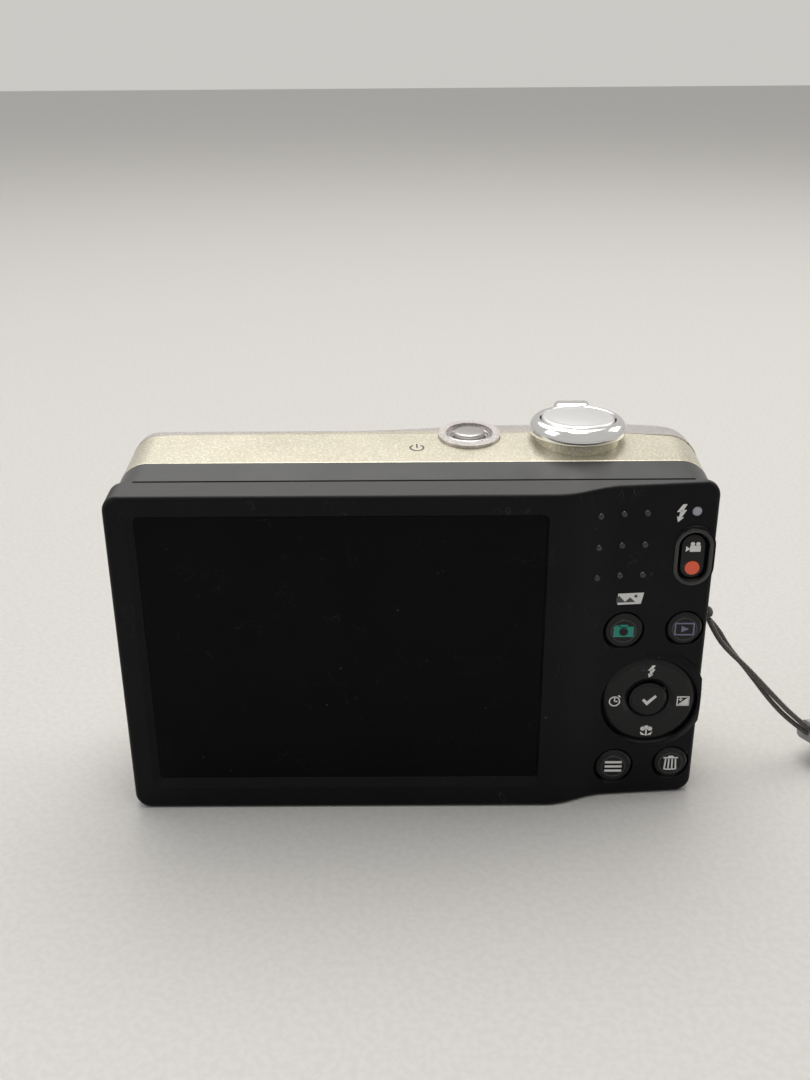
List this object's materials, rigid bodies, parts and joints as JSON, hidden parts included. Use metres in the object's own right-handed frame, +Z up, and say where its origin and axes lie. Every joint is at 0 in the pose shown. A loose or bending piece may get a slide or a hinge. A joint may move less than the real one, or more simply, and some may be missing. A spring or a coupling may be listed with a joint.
{
  "type": "compact digital camera",
  "caption": "Compact digital camera with a large rear monitor, grip, retracting zoom lens, zoom ring, rear buttons and a wrist strap.",
  "frame": {"origin": "on the base, midway across the width and midway between the rear face and the tip of the zoom tab", "axes": "+X towards the grip side, +Y from the monitor towards the lens, +Z up"},
  "size_m": [0.1945, 0.0605, 0.0635],
  "materials": {
    "rear_black": "satin black plastic",
    "frame_black": "satin dark grey paint",
    "champagne": "pale gold metallic flake paint",
    "silver": "warm silver paint",
    "window_black": "glossy clear window over a dark screen",
    "button_black": "glossy black plastic with printed marks",
    "chrome": "polished plating",
    "spun_metal": "radially spun metal",
    "power_silver": "plated plastic",
    "barrel_grey": "satin dark grey metal",
    "ring_silver": "turned aluminium",
    "glass_clear": "coated lens glass",
    "blade_black": "matt black sheet",
    "lamp_clear": "frosted lamp pip",
    "timer_orange": "amber lamp lens",
    "board_green": "solder mask",
    "steel": "sheet steel",
    "inner_black": "moulded black plastic",
    "white_part": "white reflector",
    "capacitor_blue": "sleeve over a can",
    "cell_skin": "plain cell jacket",
    "card_blue": "memory card shell",
    "brass": "turned brass",
    "cover_rubber": "soft rubber flap",
    "cord_dark": "braided cord",
    "ferrule_grey": "moulded grey plastic",
    "webbing_dark": "woven webbing"
  },
  "bodies": {
    "root": {"rear_cover": "rear_black", "mid_frame": "frame_black", "middle_band": "champagne", "front_cover": "silver", "monitor_window": "window_black", "lcd_module": "inner_black", "lcd_bracket": "steel", "main_board": "board_green", "key_board": "board_green", "key_domes": "steel", "flash_lamp": "lamp_clear", "shutter_collar": "chrome", "top_board": "board_green", "lens_housing": "inner_black", "rear_lens": "glass_clear", "image_sensor": "inner_black", "lens_ring": "ring_silver", "zoom_motor": "steel", "flash_window": "glass_clear", "flash_reflector": "white_part", "flash_capacitor": "capacitor_blue", "timer_lamp": "timer_orange", "speaker": "steel", "battery_box": "inner_black", "inner_cell": "cell_skin", "outer_cell": "cell_skin", "top_contacts": "steel", "card_slot": "steel", "hinge_pin": "steel", "tripod_socket": "brass", "av_socket": "steel", "case_screws": "steel", "strap_eyelet": "steel", "strap_hitch": "cord_dark", "rear_strand": "cord_dark", "front_strand": "cord_dark", "strap_ferrule": "ferrule_grey", "strap_webbing": "webbing_dark"},
    "movie_button": {"movie_button": "button_black"},
    "mode_button": {"mode_button": "button_black"},
    "playback_button": {"playback_button": "button_black"},
    "menu_button": {"menu_button": "button_black"},
    "delete_button": {"delete_button": "button_black"},
    "selector_hub": {"selector_hub": "inner_black"},
    "multi_selector": {"multi_selector": "button_black"},
    "ok_button": {"ok_button": "button_black"},
    "power_button": {"power_button": "power_silver"},
    "zoom_ring": {"zoom_ring": "chrome"},
    "shutter_button": {"shutter_button": "spun_metal"},
    "outer_barrel": {"outer_barrel": "barrel_grey"},
    "inner_barrel": {"inner_barrel": "barrel_grey", "front_lens": "glass_clear"},
    "upper_blade": {"upper_blade": "blade_black"},
    "lower_blade": {"lower_blade": "blade_black"},
    "battery_door": {"battery_door": "champagne", "door_contact": "steel"},
    "door_latch": {"door_latch": "inner_black"},
    "memory_card": {"memory_card": "card_blue"},
    "port_cover": {"port_cover": "cover_rubber"}
  },
  "joints": [
    {"name": "movie_press", "type": "slide", "parent": "root", "child": "movie_button", "axis": [0, 1, 0], "range_m": [0, 0.0003], "stiffness_N_per_m": 600, "springref_m": -0.00018},
    {"name": "mode_press", "type": "slide", "parent": "root", "child": "mode_button", "axis": [0, 1, 0], "range_m": [0, 0.0003], "stiffness_N_per_m": 600, "springref_m": -0.00018},
    {"name": "playback_press", "type": "slide", "parent": "root", "child": "playback_button", "axis": [0, 1, 0], "range_m": [0, 0.0003], "stiffness_N_per_m": 600, "springref_m": -0.00018},
    {"name": "menu_press", "type": "slide", "parent": "root", "child": "menu_button", "axis": [0, 1, 0], "range_m": [0, 0.0003], "stiffness_N_per_m": 600, "springref_m": -0.00018},
    {"name": "delete_press", "type": "slide", "parent": "root", "child": "delete_button", "axis": [0, 1, 0], "range_m": [0, 0.0003], "stiffness_N_per_m": 600, "springref_m": -0.00018},
    {"name": "selector_nod", "type": "hinge", "parent": "root", "child": "selector_hub", "pos_m": [0.0393, -0.0096, 0.0189], "axis": [1, 0, 0], "range_deg": [-1.8, 1.8], "stiffness_Nm_per_rad": 0.15},
    {"name": "selector_rock", "type": "hinge", "parent": "selector_hub", "child": "multi_selector", "pos_m": [0.0393, -0.0096, 0.0189], "axis": [0, 0, 1], "range_deg": [-1.8, 1.8], "stiffness_Nm_per_rad": 0.15},
    {"name": "ok_press", "type": "slide", "parent": "selector_hub", "child": "ok_button", "axis": [0, 1, 0], "range_m": [0, 0.0003], "stiffness_N_per_m": 600, "springref_m": -0.00018},
    {"name": "power_press", "type": "slide", "parent": "root", "child": "power_button", "axis": [0, 0, -1], "range_m": [0, 0.0004], "stiffness_N_per_m": 600, "springref_m": -0.00024},
    {"name": "zoom_turn", "type": "hinge", "parent": "root", "child": "zoom_ring", "pos_m": [0.0275, 0.0057, 0.0615], "axis": [0, 0, 1], "range_deg": [-20, 20], "stiffness_Nm_per_rad": 0.03},
    {"name": "shutter_press", "type": "slide", "parent": "root", "child": "shutter_button", "axis": [0, 0, -1], "range_m": [0, 0.001], "stiffness_N_per_m": 300, "springref_m": -0.0006},
    {"name": "lens_extend", "type": "slide", "parent": "root", "child": "outer_barrel", "axis": [0, 1, 0], "range_m": [0, 0.014]},
    {"name": "inner_extend", "type": "slide", "parent": "outer_barrel", "child": "inner_barrel", "axis": [0, 1, 0], "range_m": [0, 0.011]},
    {"name": "upper_blade_swing", "type": "hinge", "parent": "inner_barrel", "child": "upper_blade", "pos_m": [-0.02, 0.0113, 0.031], "axis": [0, -1, 0], "range_deg": [0, 36.05]},
    {"name": "lower_blade_swing", "type": "hinge", "parent": "inner_barrel", "child": "lower_blade", "pos_m": [-0.001, 0.0113, 0.027], "axis": [0, -1, 0], "range_deg": [0, 36.05]},
    {"name": "battery_door_swing", "type": "hinge", "parent": "root", "child": "battery_door", "pos_m": [0.0444, 0.00225, 0.00135], "axis": [0, -1, 0], "range_deg": [0, 100]},
    {"name": "door_latch_slide", "type": "slide", "parent": "battery_door", "child": "door_latch", "axis": [1, 0, 0], "range_m": [0, 0.002]},
    {"name": "card_push", "type": "slide", "parent": "root", "child": "memory_card", "axis": [0, 0, 1], "range_m": [0, 0.001], "stiffness_N_per_m": 300, "springref_m": -0.0005},
    {"name": "port_cover_swing", "type": "hinge", "parent": "root", "child": "port_cover", "pos_m": [-0.0474, 0.0018, 0.0146], "axis": [0, -1, 0], "range_deg": [0, 90]}
  ],
  "couplings": [
    {"joint": "inner_extend", "follows": "lens_extend", "ratio": 0.78571},
    {"joint": "upper_blade_swing", "follows": "lens_extend", "rad_per_m": 44.879},
    {"joint": "lower_blade_swing", "follows": "lens_extend", "rad_per_m": 44.879}
  ]
}
